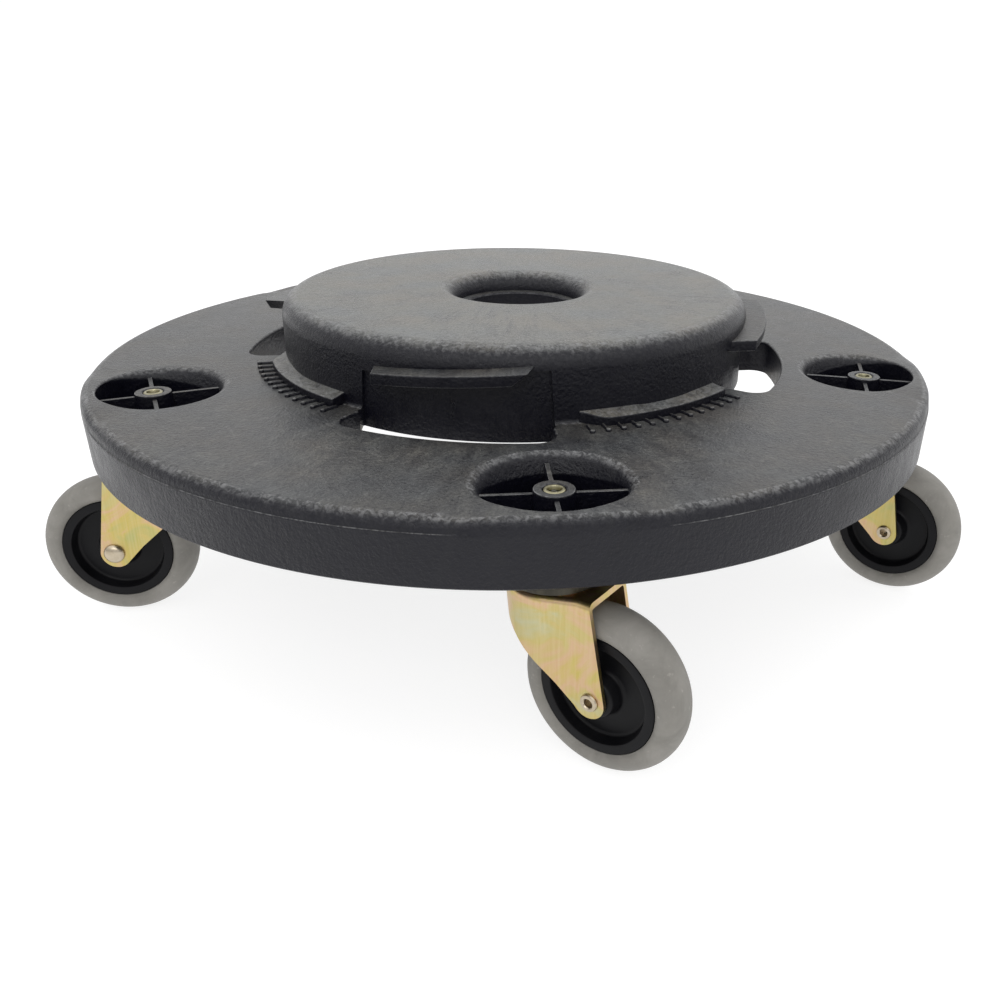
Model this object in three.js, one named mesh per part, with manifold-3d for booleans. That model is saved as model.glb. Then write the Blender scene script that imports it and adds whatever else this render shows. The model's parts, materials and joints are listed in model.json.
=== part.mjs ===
// Round twist-lock dolly: a moulded disc deck on five swivel casters.
// Millimetres, +Z up, floor at z = 0. The disc stands off the origin in X so that the
// origin is below the middle of the whole object with its casters as they stand.
import * as THREE from 'three';
import { mergeVertices } from 'three/addons/utils/BufferGeometryUtils.js';
import Module from 'manifold-3d';

// Deck
const DISC_X = -14.4;
const DECK_R = 228.6;
const SKIRT_BOTTOM = 93.5;
const SKIRT_BOTTOM_R = 227.9;
const SKIRT_WALL = 23.4;
const SKIRT_DRAFT = 1;
const EDGE_FILLET = 6.2;
const WALL_TOP = SKIRT_BOTTOM + SKIRT_WALL;
const DECK_TOP = WALL_TOP + EDGE_FILLET;
const SHELL = 6;
const UNDER_DECK = DECK_TOP - SHELL;
const DECK_SEGMENTS = 60;
const CUT_CLEAR = 2;
const ROOT = SHELL / 2;

// Raised hub in the middle of the deck
const HUB_R = 128.6;
const HUB_TOP = 158.9;
const HUB_FILLET = 10.4;
const HUB_WALL = 8;
const HUB_FOOT = DECK_TOP - 9.2;
const HOLE_LIP_R = 45;
const HOLE_THROAT_R = 34.3;
const HOLE_LIP_DROP = 10;
const HOLE_R = 30.2;
const HOLE_TUBE_R = 36;
const HOLE_TUBE_FLARE = 3;
const HOLE_TUBE_BOTTOM = 136;

// Twist-lock slots, the tabs over them, and the toothed ledges between them
const QUARTERS = [0, 90, 180, 270];
const SLOT_INNER_R = 127;
const SLOT_OUTER_R = 150.3;
const SLOT_HALF_DEG = 20.5;
const SLOT_CORNER = 9;
const SLOT_FLANGE = 3.5;
const SLOT_FLANGE_DEG = 1.4;
const SLOT_FLANGE_BOTTOM = 104.5;
const SLOT_FLANGE_INNER_R = 131;
const TAB_INNER_R = SLOT_INNER_R - CUT_CLEAR;
const TAB_OUTER_R = 140;
const TAB_INNER_DEG = 18;
const TAB_OUTER_DEG = 15.1;
const TAB_MID_TOP = 148.4;
const TAB_THICK = 5.6;
const TAB_RAMP_PER_DEG = 0.16;
const LEDGE_OUTER_R = 136.3;
const LEDGE_HALF_DEG = 18.7;
const LEDGE_RISE = 4.1;
const TOOTH_COUNT = 13;
const TOOTH_STEP_DEG = 3.05;
const TOOTH_SHIFT_DEG = 0.7;
const TOOTH_TIP_R = 144;
const TOOTH_WIDTH = 2;
const TOOTH_RISE = 1.1;

// Caster wells in the deck, each with a thin raised rim where it meets the deck's edge
const CASTER_AZIMUTHS = [0, 72, 144, -144, -72];
const TRAIL_AZIMUTHS = [-22.6, 165, -105, -165.3, -22.6];
const CASTER_CIRCLE_R = 195.6;
const WELL_R = 30;
const WELL_WALL_R = 34;
const WELL_FLARE = 6.5;
const WELL_FLARE_LIMIT_R = 218;
const WELL_TRIM_R = 227.2;
const WELL_FLOOR = 5;
const RIM_TOP = DECK_TOP + 1.8;
const RIM_INNER_R = 224.9;
const RIM_OUTER_R = 228.3;
const RIM_HALF_TOP = 22;
const RIM_HALF_FOOT = 31;
const BOSS_R = 8.5;
const BOSS_TOP = SKIRT_BOTTOM + 27.7;
const SPOKE_WIDTH = 2.4;
const SPOKE_DROP = 1.7;

// Caster: heights are above the floor, reaches are along the trail from the swivel axis
const STEM_R = 4.75;
const STEM_FIT = 0.3;
const STEM_DROP = 0.2;
const STEM_CHAMFER = 0.8;
const STEM_DIMPLE_R = 1.7;
const STEM_DIMPLE = 1.2;
const SWIVEL_FIT = 0.12;
const KING_HEAD_R = 8;
const KING_HEAD = [77.2, 80.1];
const KING_HEAD_CHAMFER = 1;
const CUP_R = 21;
const CUP_BOTTOM = 84.4;
const CUP_TOP = 93.2;
const CUP_SHEET = 2.4;
const BALL_CIRCLE_R = 13;
const BALL_R = 3.6;
const BALL_Z = 86.8;
const BALL_SIDES = 6;
const TRAIL = 27.5;
const WHEEL_R = 38.1;
const CROWN_R = 19.4;
const FORK_TOP = 82.9;
const FORK_PLATE = 2.5;
const FORK_SHEET = 2;
const FORK_HALF_WIDTH = 14;
const FORK_REAR = 25.6;
const FORK_LIP = 71.4;
const FORK_KNEE = [1.8, 52.1];
const FORK_WAIST = [11.5, 46.6];
const LEG_STRAIGHT = 20;
const LEG_END = 37;
const LEG_TIP = [26.8, 37.7];
const LEG_TIP_R = 7.5;

// Wheel and axle: lengths are across the wheel from its middle plane
const TYRE_BORE_R = 27.6;
const TYRE_SHOULDER = [[37.3, 5.2], [34.8, 9.2]];
const TYRE_WALL = [31, 10.6];
const CORE_R = 27.3;
const CORE_HALF_RIM = 8.7;
const CORE_RIM_BORE_R = 22.8;
const CORE_WEB_OUTER = [21.8, 3.6];
const CORE_WEB_INNER = [9.3, 4.5];
const CORE_HUB_R = 8.3;
const CORE_HALF_HUB = 11.3;
const CORE_BORE_R = 4.87;
const SLEEVE_R = 4.8;
const SLEEVE_BORE_R = 3.5;
const SLEEVE_HALF_LENGTH = 11.6;
const RIVET_R = 3.15;
const RIVET_HOLE_R = 3.5;
const RIVET_HEAD_R = 5.15;
const RIVET_HEAD_SHOULDER = [4.1, 1.8];
const RIVET_HEAD_HEIGHT = 2.7;
const RIVET_LIP_R = 3.9;
const RIVET_LIP = 1.1;
const RIVET_LIP_CHAMFER = 0.6;
const RIVET_HOLLOW_R = 2.1;
const RIVET_SEAT = FORK_HALF_WIDTH + 0.3;

const TYRE_SEGMENTS = 32;
const CORE_SEGMENTS = 24;
const WELL_SEGMENTS = 24;
const RACE_SEGMENTS = 16;
const PIN_SEGMENTS = 12;

const wasm = await Module();
wasm.setup();

const plastic = { color: 0x2b2b2d, roughness: 0.62, metalness: 0 };
const tyreRubber = { color: 0x8b8880, roughness: 0.75, metalness: 0 };
const coreNylon = { color: 0x161618, roughness: 0.5, metalness: 0 };
const goldZinc = { color: 0xc9b777, roughness: 0.35, metalness: 0.9 };
const plainSteel = { color: 0x9a9892, roughness: 0.4, metalness: 0.9 };

const radians = THREE.MathUtils.degToRad;
const degrees = THREE.MathUtils.radToDeg;

// A closed geometry as a manifold solid, with its seams merged and slivers dropped.
function solid(geometry) {
  const bare = geometry.clone();
  bare.deleteAttribute('normal');
  bare.deleteAttribute('uv');
  const merged = mergeVertices(bare, 1e-4);
  const index = merged.index.array;
  const triangles = [];
  for (let i = 0; i < index.length; i += 3) {
    const [a, b, c] = [index[i], index[i + 1], index[i + 2]];
    if (a !== b && b !== c && c !== a) triangles.push(a, b, c);
  }
  return new wasm.Manifold(new wasm.Mesh({
    numProp: 3,
    vertProperties: new Float32Array(merged.attributes.position.array),
    triVerts: new Uint32Array(triangles),
  }));
}

function geometryOf(manifold) {
  const mesh = manifold.getMesh();
  const geometry = new THREE.BufferGeometry();
  geometry.setAttribute('position', new THREE.BufferAttribute(mesh.vertProperties, 3));
  geometry.setIndex(new THREE.BufferAttribute(mesh.triVerts, 1));
  geometry.computeVertexNormals();
  return geometry;
}

function meshOf(name, manifold, look) {
  const mesh = new THREE.Mesh(geometryOf(manifold), new THREE.MeshStandardMaterial(look));
  mesh.name = name;
  return mesh;
}

const join = (solids) => solids.reduce((whole, piece) => whole.add(piece));
const cut = (whole, tools) => tools.reduce((left, tool) => left.subtract(tool), whole);

// Points on an arc, [radius, height] pairs, angles in degrees.
function arc(centreX, centreY, radius, fromDeg, toDeg, steps) {
  const points = [];
  for (let i = 0; i <= steps; i += 1) {
    const angle = radians(fromDeg + (toDeg - fromDeg) * i / steps);
    points.push([centreX + radius * Math.cos(angle), centreY + radius * Math.sin(angle)]);
  }
  return points;
}

const vectors = (points) => points.map(([x, y]) => new THREE.Vector2(x, y));

// A profile of [radius, height] pairs turned about local Y (an axle) or about Z.
const turnedOnY = (points, segments) => new THREE.LatheGeometry(vectors(points), segments);
const turnedOnZ = (points, segments) => turnedOnY(points, segments).rotateX(Math.PI / 2);
const ring = (points) => [...points, points[0]];

// An upright cylinder between two heights.
function drum(radius, low, high, segments) {
  return turnedOnZ([[0, low], [radius, low], [radius, high], [0, high]], segments);
}

function extruded(points, depth, from) {
  const shape = new THREE.Shape(vectors(points));
  const geometry = new THREE.ExtrudeGeometry(shape, { depth, bevelEnabled: false, steps: 1 });
  return geometry.translate(0, 0, from);
}

// An annular sector centred on azimuth 0. Its two ends may run in towards each other.
function sectorOutline(inner, outer, innerDeg, outerDeg) {
  return [
    ...arc(0, 0, inner, innerDeg, -innerDeg, 6),
    ...arc(0, 0, outer, -outerDeg, outerDeg, 6),
  ];
}

// The same with round outer corners.
function slotOutline(inner, outer, halfDeg, corner) {
  const outerDeg = halfDeg - degrees(corner / (outer - corner));
  const [[endX, endY]] = arc(0, 0, outer - corner, outerDeg, outerDeg, 1);
  const high = arc(endX, endY, corner, outerDeg, outerDeg + 90, 4);
  const low = high.map(([x, y]) => [x, -y]).reverse();
  const front = arc(0, 0, outer, -outerDeg, outerDeg, 6).slice(1, -1);
  return [...arc(0, 0, inner, halfDeg, -halfDeg, 6), ...low, ...front, ...high];
}

// Lifts a geometry in proportion to its azimuth, as the twist-lock tabs rise.
function ramped(geometry) {
  const position = geometry.attributes.position;
  for (let i = 0; i < position.count; i += 1) {
    const azimuth = degrees(Math.atan2(position.getY(i), position.getX(i)));
    position.setZ(i, position.getZ(i) + TAB_RAMP_PER_DEG * azimuth);
  }
  return geometry;
}

const atAzimuth = (geometry, deg) => geometry.clone().rotateZ(radians(deg));
const around = (geometry, azimuths) => azimuths.map((deg) => solid(atAzimuth(geometry, deg)));
const atCasters = (geometry) => around(geometry.translate(CASTER_CIRCLE_R, 0, 0), CASTER_AZIMUTHS);

// The rounded mouth of the centre hole, from the hub's top down to the throat.
function holeMouth() {
  const reach = HOLE_LIP_R - HOLE_THROAT_R;
  return arc(0, 0, 1, 90, 0, 3).map(([across, up]) => [
    HOLE_LIP_R - reach * across,
    HUB_TOP - HOLE_LIP_DROP * (1 - up),
  ]);
}

function deckShell() {
  const innerR = DECK_R - SHELL;
  const underHub = HUB_TOP - SHELL;
  const hubInnerR = HUB_R - HUB_WALL;
  return solid(turnedOnZ(ring([
    [SKIRT_BOTTOM_R, SKIRT_BOTTOM],
    ...arc(DECK_R - EDGE_FILLET, WALL_TOP, EDGE_FILLET, 0, 90, 2),
    [HUB_R, DECK_TOP],
    ...arc(HUB_R - HUB_FILLET, HUB_TOP - HUB_FILLET, HUB_FILLET, 0, 90, 3),
    ...holeMouth(),
    [HOLE_R, HUB_TOP - HOLE_LIP_DROP],
    [HOLE_R, HOLE_TUBE_BOTTOM],
    [HOLE_TUBE_R, HOLE_TUBE_BOTTOM],
    [HOLE_TUBE_R + HOLE_TUBE_FLARE, underHub],
    [hubInnerR - SHELL, underHub],
    [hubInnerR, underHub - SHELL],
    [hubInnerR, HUB_FOOT],
    [HUB_R, HUB_FOOT],
    [HUB_R, UNDER_DECK],
    [innerR - EDGE_FILLET, UNDER_DECK],
    [innerR - SKIRT_DRAFT, SKIRT_BOTTOM],
  ]), DECK_SEGMENTS));
}

// Walls around the wells below the deck, trimmed just inside the skirt's outer face.
function wellWalls() {
  const top = DECK_TOP - ROOT;
  const walls = atCasters(drum(WELL_WALL_R, SKIRT_BOTTOM, top, WELL_SEGMENTS));
  return join(walls).intersect(solid(drum(WELL_TRIM_R, SKIRT_BOTTOM, top, DECK_SEGMENTS)));
}

// Where a well comes through the deck's rounded edge, the skirt runs up into a thin rim.
function wellRims() {
  const low = WALL_TOP - ROOT;
  const band = turnedOnZ(ring([
    [RIM_INNER_R, low],
    [RIM_OUTER_R, low],
    [RIM_OUTER_R, RIM_TOP],
    [RIM_INNER_R, RIM_TOP],
  ]), DECK_SEGMENTS);
  const face = [
    [-RIM_HALF_FOOT, low],
    [RIM_HALF_FOOT, low],
    [RIM_HALF_FOOT, WALL_TOP],
    [RIM_HALF_TOP, RIM_TOP],
    [-RIM_HALF_TOP, RIM_TOP],
    [-RIM_HALF_FOOT, WALL_TOP],
  ];
  const across = extruded(face, DECK_R, 0).rotateX(Math.PI / 2).rotateZ(Math.PI / 2);
  return join(around(across, CASTER_AZIMUTHS)).intersect(solid(band));
}

// Each well is a round bore, flared where it opens through the flat of the deck.
function wellCutters() {
  const floor = SKIRT_BOTTOM + WELL_FLOOR;
  const top = DECK_TOP + CUT_CLEAR;
  const bores = join(atCasters(drum(WELL_R, floor, RIM_TOP + CUT_CLEAR, WELL_SEGMENTS)));
  const flare = turnedOnZ([
    [0, DECK_TOP - WELL_FLARE],
    ...arc(WELL_R + WELL_FLARE, DECK_TOP - WELL_FLARE, WELL_FLARE, 180, 90, 3),
    [WELL_R + WELL_FLARE, top],
    [0, top],
  ], WELL_SEGMENTS);
  const limit = solid(drum(WELL_FLARE_LIMIT_R, SKIRT_BOTTOM, top, DECK_SEGMENTS));
  return bores.add(join(atCasters(flare)).intersect(limit));
}

function spokesAndBosses() {
  const foot = SKIRT_BOTTOM + WELL_FLOOR / 2;
  const height = BOSS_TOP - SPOKE_DROP - foot;
  const length = 2 * (WELL_R + 1);
  const spoke = new THREE.BoxGeometry(length, SPOKE_WIDTH, height);
  spoke.translate(0, 0, foot + height / 2);
  const crossed = spoke.clone().rotateZ(Math.PI / 2);
  return join([
    ...atCasters(spoke),
    ...atCasters(crossed),
    ...atCasters(drum(BOSS_R, foot, BOSS_TOP, RACE_SEGMENTS)),
  ]);
}

function stemBores() {
  const radius = STEM_R + STEM_FIT;
  return join(atCasters(drum(radius, SKIRT_BOTTOM - CUT_CLEAR, BOSS_TOP + CUT_CLEAR, RACE_SEGMENTS)));
}

function slotFlange() {
  const outline = slotOutline(
    SLOT_FLANGE_INNER_R,
    SLOT_OUTER_R + SLOT_FLANGE,
    SLOT_HALF_DEG + SLOT_FLANGE_DEG,
    SLOT_CORNER + SLOT_FLANGE,
  );
  return extruded(outline, DECK_TOP - ROOT - SLOT_FLANGE_BOTTOM, SLOT_FLANGE_BOTTOM);
}

function slotCutter() {
  const outline = slotOutline(SLOT_INNER_R, SLOT_OUTER_R, SLOT_HALF_DEG, SLOT_CORNER);
  const top = TAB_MID_TOP - TAB_THICK / 2;
  return ramped(extruded(outline, top - SKIRT_BOTTOM, SKIRT_BOTTOM));
}

function tab() {
  const outline = sectorOutline(TAB_INNER_R, TAB_OUTER_R, TAB_INNER_DEG, TAB_OUTER_DEG);
  return ramped(extruded(outline, TAB_THICK, TAB_MID_TOP - TAB_THICK));
}

function ledge() {
  const outline = sectorOutline(HUB_R - ROOT, LEDGE_OUTER_R, LEDGE_HALF_DEG, LEDGE_HALF_DEG);
  return extruded(outline, LEDGE_RISE + ROOT, DECK_TOP - ROOT);
}

function teeth() {
  const length = TOOTH_TIP_R - LEDGE_OUTER_R + ROOT;
  const height = TOOTH_RISE + ROOT;
  const tooth = new THREE.BoxGeometry(length, TOOTH_WIDTH, height);
  tooth.translate(TOOTH_TIP_R - length / 2, 0, DECK_TOP + TOOTH_RISE - height / 2);
  const azimuths = [];
  for (const quarter of QUARTERS) {
    const middle = quarter + 45 + TOOTH_SHIFT_DEG;
    for (let i = 0; i < TOOTH_COUNT; i += 1) {
      azimuths.push(middle + (i - (TOOTH_COUNT - 1) / 2) * TOOTH_STEP_DEG);
    }
  }
  return join(around(tooth, azimuths));
}

function deck() {
  const betweenQuarters = QUARTERS.map((deg) => deg + 45);
  const base = join([deckShell(), wellWalls(), wellRims(), ...around(slotFlange(), QUARTERS)]);
  const opened = cut(base, [wellCutters(), ...around(slotCutter(), QUARTERS)]);
  const finished = join([
    opened,
    spokesAndBosses(),
    ...around(tab(), QUARTERS),
    ...around(ledge(), betweenQuarters),
    teeth(),
  ]);
  return cut(finished, [stemBores()]);
}

function stem() {
  const top = BOSS_TOP - STEM_DROP;
  const [headLow, headHigh] = KING_HEAD;
  return solid(turnedOnZ([
    [0, headLow],
    [KING_HEAD_R - KING_HEAD_CHAMFER, headLow],
    [KING_HEAD_R, headLow + KING_HEAD_CHAMFER],
    [KING_HEAD_R, headHigh],
    [STEM_R, headHigh],
    [STEM_R, top - STEM_CHAMFER],
    [STEM_R - STEM_CHAMFER, top],
    [STEM_DIMPLE_R, top],
    [0, top - STEM_DIMPLE],
  ], PIN_SEGMENTS));
}

function bearingCup() {
  const boreR = STEM_R + STEM_FIT;
  const innerR = CUP_R - CUP_SHEET;
  const underTop = CUP_TOP - CUP_SHEET;
  return solid(turnedOnZ(ring([
    [boreR, underTop],
    [innerR, underTop],
    [innerR, CUP_BOTTOM],
    [CUP_R, CUP_BOTTOM],
    [CUP_R, underTop],
    [innerR, CUP_TOP],
    [boreR, CUP_TOP],
  ]), RACE_SEGMENTS));
}

function ballRing() {
  const section = arc(BALL_CIRCLE_R, BALL_Z, BALL_R, 0, 360, BALL_SIDES).slice(0, -1);
  return solid(turnedOnZ(ring(section), RACE_SEGMENTS));
}

// Half the angle that the fork's crown leaves open, where its arc meets the legs' tangents.
const CROWN_OPENING_DEG = degrees(Math.atan2(FORK_HALF_WIDTH, LEG_STRAIGHT)
  + Math.acos(CROWN_R / Math.hypot(LEG_STRAIGHT, FORK_HALF_WIDTH)));

// The round crown of the stamped fork in plan, open towards its legs.
const crownArc = (radius) => arc(0, 0, radius, CROWN_OPENING_DEG, 360 - CROWN_OPENING_DEG, 8);

// One edge of the fork's horseshoe wall in plan, from the end of one leg round to the other.
const horseshoe = (crownR, halfWidth) => [
  [LEG_END, halfWidth],
  [LEG_STRAIGHT, halfWidth],
  ...crownArc(crownR),
  [LEG_STRAIGHT, -halfWidth],
  [LEG_END, -halfWidth],
];

function fork() {
  const wallOutline = [
    ...horseshoe(CROWN_R, FORK_HALF_WIDTH),
    ...horseshoe(CROWN_R - FORK_SHEET, FORK_HALF_WIDTH - FORK_SHEET).reverse(),
  ];
  const wall = solid(extruded(wallOutline, FORK_TOP, 0));
  const [tipX, tipZ] = LEG_TIP;
  const sideOutline = [
    [FORK_REAR, FORK_TOP],
    [-CROWN_R - 1, FORK_TOP],
    [-CROWN_R - 1, FORK_LIP],
    FORK_KNEE,
    FORK_WAIST,
    ...arc(tipX, tipZ, LEG_TIP_R, -145, 15, 7),
  ];
  const across = extruded(sideOutline, 4 * CROWN_R, -2 * CROWN_R).rotateX(Math.PI / 2);
  const plateOutline = [
    [FORK_REAR, FORK_HALF_WIDTH],
    ...crownArc(CROWN_R),
    [FORK_REAR, -FORK_HALF_WIDTH],
  ];
  const plate = solid(extruded(plateOutline, FORK_PLATE, FORK_TOP - FORK_PLATE));
  const kingBore = drum(STEM_R + SWIVEL_FIT, 0, FORK_TOP + CUT_CLEAR, 2 * PIN_SEGMENTS);
  const rivetBore = new THREE.CylinderGeometry(RIVET_HOLE_R, RIVET_HOLE_R, 4 * CROWN_R, PIN_SEGMENTS);
  rivetBore.translate(TRAIL, 0, WHEEL_R);
  return cut(wall.intersect(solid(across)).add(plate), [solid(kingBore), solid(rivetBore)]);
}

function axleRivet() {
  const [shoulderR, shoulder] = RIVET_HEAD_SHOULDER;
  const lip = RIVET_SEAT + RIVET_LIP;
  return solid(turnedOnY([
    [0, -SLEEVE_HALF_LENGTH],
    [RIVET_HOLLOW_R, -SLEEVE_HALF_LENGTH],
    [RIVET_HOLLOW_R, -lip],
    [RIVET_LIP_R - RIVET_LIP_CHAMFER, -lip],
    [RIVET_LIP_R, -RIVET_SEAT],
    [RIVET_R, -RIVET_SEAT],
    [RIVET_R, RIVET_SEAT],
    [RIVET_HEAD_R, RIVET_SEAT],
    [shoulderR, RIVET_SEAT + shoulder],
    [0, RIVET_SEAT + RIVET_HEAD_HEIGHT],
  ], PIN_SEGMENTS));
}

function axleSleeve() {
  return solid(turnedOnY(ring([
    [SLEEVE_BORE_R, -SLEEVE_HALF_LENGTH],
    [SLEEVE_R, -SLEEVE_HALF_LENGTH],
    [SLEEVE_R, SLEEVE_HALF_LENGTH],
    [SLEEVE_BORE_R, SLEEVE_HALF_LENGTH],
  ]), PIN_SEGMENTS));
}

// Both wheel profiles are one half, from the middle plane outwards, and its mirror image.
function mirroredProfile(half) {
  const lower = half.map(([r, y]) => [r, -y]).reverse();
  return ring([...lower, ...half.filter(([, y]) => y > 0)]);
}

function wheelCore() {
  return solid(turnedOnY(mirroredProfile([
    [CORE_R, CORE_HALF_RIM],
    [CORE_RIM_BORE_R, CORE_HALF_RIM],
    CORE_WEB_OUTER,
    CORE_WEB_INNER,
    [CORE_HUB_R, CORE_HALF_HUB],
    [CORE_BORE_R, CORE_HALF_HUB],
  ]), CORE_SEGMENTS));
}

function tyre() {
  return solid(turnedOnY(mirroredProfile([
    [WHEEL_R, 0],
    ...TYRE_SHOULDER,
    TYRE_WALL,
    [TYRE_BORE_R, CORE_HALF_RIM],
  ]), TYRE_SEGMENTS));
}

function caster(number, azimuthDeg, trailDeg) {
  const swivel = new THREE.Group();
  const [[swivelX, swivelY]] = arc(0, 0, CASTER_CIRCLE_R, azimuthDeg, azimuthDeg, 1);
  swivel.position.set(swivelX, swivelY, 0);
  swivel.rotation.z = radians(trailDeg);
  swivel.add(
    meshOf(`stem_${number}`, stem(), goldZinc),
    meshOf(`bearing_cup_${number}`, bearingCup(), goldZinc),
    meshOf(`ball_ring_${number}`, ballRing(), plainSteel),
    meshOf(`fork_${number}`, fork(), goldZinc),
  );
  const axle = new THREE.Group();
  axle.position.set(TRAIL, 0, WHEEL_R);
  axle.add(
    meshOf(`axle_rivet_${number}`, axleRivet(), plainSteel),
    meshOf(`axle_sleeve_${number}`, axleSleeve(), plainSteel),
    meshOf(`wheel_core_${number}`, wheelCore(), coreNylon),
    meshOf(`tyre_${number}`, tyre(), tyreRubber),
  );
  swivel.add(axle);
  return swivel;
}

const dolly = new THREE.Group();
dolly.position.x = DISC_X;
dolly.add(meshOf('deck', deck(), plastic));
CASTER_AZIMUTHS.forEach((azimuth, i) => {
  dolly.add(caster(i + 1, azimuth, TRAIL_AZIMUTHS[i]));
});

export default dolly;
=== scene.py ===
"""Round twist-lock dolly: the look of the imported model, in metres, in the CAD frame.

Shapes are written in millimetres from the floor and from the disc's own axis, and scaled once."""

import json
import math

import bmesh
import bpy
from mathutils import Matrix, Vector


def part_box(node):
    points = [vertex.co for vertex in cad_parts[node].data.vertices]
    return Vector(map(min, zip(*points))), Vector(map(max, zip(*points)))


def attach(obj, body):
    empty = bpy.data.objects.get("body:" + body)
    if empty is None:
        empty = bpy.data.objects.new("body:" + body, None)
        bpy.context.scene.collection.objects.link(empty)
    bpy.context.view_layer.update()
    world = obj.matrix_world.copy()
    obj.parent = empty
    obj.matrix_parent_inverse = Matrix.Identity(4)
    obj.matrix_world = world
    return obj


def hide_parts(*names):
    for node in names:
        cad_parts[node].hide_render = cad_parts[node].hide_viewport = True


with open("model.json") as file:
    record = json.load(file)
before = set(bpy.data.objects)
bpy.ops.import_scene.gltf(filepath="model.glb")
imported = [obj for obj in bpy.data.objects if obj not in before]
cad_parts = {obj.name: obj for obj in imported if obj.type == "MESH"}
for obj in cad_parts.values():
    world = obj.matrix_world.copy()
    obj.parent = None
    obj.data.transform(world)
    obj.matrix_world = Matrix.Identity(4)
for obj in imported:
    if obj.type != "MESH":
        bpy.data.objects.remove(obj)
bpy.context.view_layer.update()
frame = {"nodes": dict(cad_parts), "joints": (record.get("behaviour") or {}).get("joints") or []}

MM = 0.001
DECK_LOW, DECK_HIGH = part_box("deck")
DISC_AXIS = Vector(((DECK_LOW.x + DECK_HIGH.x) / 2, (DECK_LOW.y + DECK_HIGH.y) / 2, 0))
JOINTS = {joint["name"]: joint for joint in frame["joints"]}

# Deck, in millimetres. Azimuths, halves and spans are in degrees.
DECK_R = 228.6
SKIRT_BOTTOM = 93.5
SKIRT_WALL = 23.4
EDGE_FILLET = 6.2
DECK_TOP = SKIRT_BOTTOM + SKIRT_WALL + EDGE_FILLET
SHELL = 6.0
HUB_R = 128.6
HUB_TOP = 158.9
HUB_FILLET = 10.4
HUB_WALL = 8.0
HUB_FOOT = DECK_TOP - 9.2
HOLE_LIP_R = 45.0
HOLE_THROAT_R = 34.3
HOLE_LIP_DROP = 10.0
HOLE_R = 30.2
HOLE_TUBE_R = 36.0
HOLE_TUBE_END = 136.0
HUB_FOOT_ROUNDING = 2.0
RING_SEGMENTS = 600
QUARTERS = (0, 90, 180, 270)
DIAGONALS = (45, 135, 225, 315)
SLOT_INNER_R = 127.0
SLOT_OUTER_R = 150.3
SLOT_HALF = 20.5
SLOT_CORNER = 9.0
SLOT_EDGE = 1.6
SLOT_SPREAD = 0.41
FLANGE = 3.5
FLANGE_INNER_R = 131.0
FLANGE_SPREAD = 1.4
FLANGE_BOTTOM = 104.5
PANEL_FOOT_HALF = 22.0
TAB_MID_TOP = 148.4
TAB_THICK = 5.6
TAB_INNER_R = SLOT_INNER_R - 2.0
TAB_OUTER_R = 140.0
TAB_RAMP = 0.16
TAB_ROUNDING = 0.8
TAB_INNER_TOP_SPAN = (-18.4, 17.8)
TAB_INNER_LOW_SPAN = (-18.4, 14.6)
TAB_OUTER_TOP_SPAN = (-14.5, 15.7)
TAB_OUTER_LOW_SPAN = (-14.7, 12.6)
LEDGE_OUTER_R = 136.3
LEDGE_HALF = 18.7
LEDGE_RISE = 4.1
LEDGE_FALL = 0.2
LEDGE_TAPER = 6.0
TOOTH_COUNT = 13
TOOTH_STEP = 3.05
TOOTH_SHIFT = 0.7
TOOTH_TIP_R = 144.0
TOOTH_WIDTH = 1.7
TOOTH_RISE = 1.1
PIP_R = 1.4
CASTER_CIRCLE_R = 195.6
WELL_R = 29.5
WELL_WALL_R = 34.0
WELL_FLARE = 6.8
WELL_FLARE_SPAN = (35, 95)
WELL_BOWL = 9.0
WELL_BOWL_SPAN = (85, 150)
WELL_MOUTH_SPAN = (45, 105)
WELL_FLOOR = 5.0
WELL_SEGMENTS = 180
WELL_TRIM_R = 227.2
RIM_TOP = DECK_TOP + 0.6
RIM_EDGE = 1.4
RIM_ROUNDING = 4.8
RIM_THICKER = 4.0
RIM_HALF_TOP = 18.0
RIM_HALF_FOOT = 52.0
BOSS_R = 8.8
BOSS_TOP = SKIRT_BOTTOM + 27.7
SPOKE_TOP = BOSS_TOP - 1.7
SPOKE_HALF_FOOT = 1.5
SPOKE_HALF_TOP = 1.05
STEM_FIT = 0.15

# Caster, in millimetres
STEM_R = 4.75
CROWN_R = 19.8
CROWN_DRAFT = 1.5
CROWN_DRAFT_DEPTH = 20.0
FORK_TOP = 82.9
FORK_PLATE = 2.5
FORK_SHEET = 2.0
FORK_HALF_WIDTH = 14.0
LEG_STRAIGHT = 20.0
LEG_END = 37.0
FORK_BEND = 3.2
TRAIL = 27.5
WHEEL_R = 38.1
LEG_TIP = (26.8, 37.7)
LEG_TIP_R = 7.5
LEG_TIP_SPAN = (-137, 15)
FORK_REAR = 25.6
FORK_KNEE = (1.8, 52.1)
FORK_KNEE_R = 40.0
FORK_WAIST = (11.8, 42.9)
FORK_WAIST_R = 30.0
FORK_LIP_SLOPE = 0.863
KING_BORE_R = STEM_R + 0.12
AXLE_BORE_R = 3.3
RIVET_SEAT = FORK_HALF_WIDTH + 0.05

# Stage
CAMERA_OFFSET_MM = (130.8, -525.4, 277.3)
CAMERA_YAW = math.radians(9.2)
CAMERA_PITCH = math.radians(23.62)
CAMERA_ROLL = math.radians(1.448)
CAMERA_LENS = 34.484
CAMERA_SHIFT = (-0.0929, -0.0216)
SENSOR_WIDTH = 36.0
FLOOR_HALF = 12.0
FLOOR_GAP = 0.0003
FLOOR_GLOW = 0.80
# Each wash over the world: the axis it follows, where it starts and ends, and its strength at each end.
SKY_WASHES = ((2, 0.20, 0.80, 0.72, 1.50), (1, 0.20, 0.88, -0.10, 0.34))


# ---------------------------------------------------------------- mesh helpers

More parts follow.
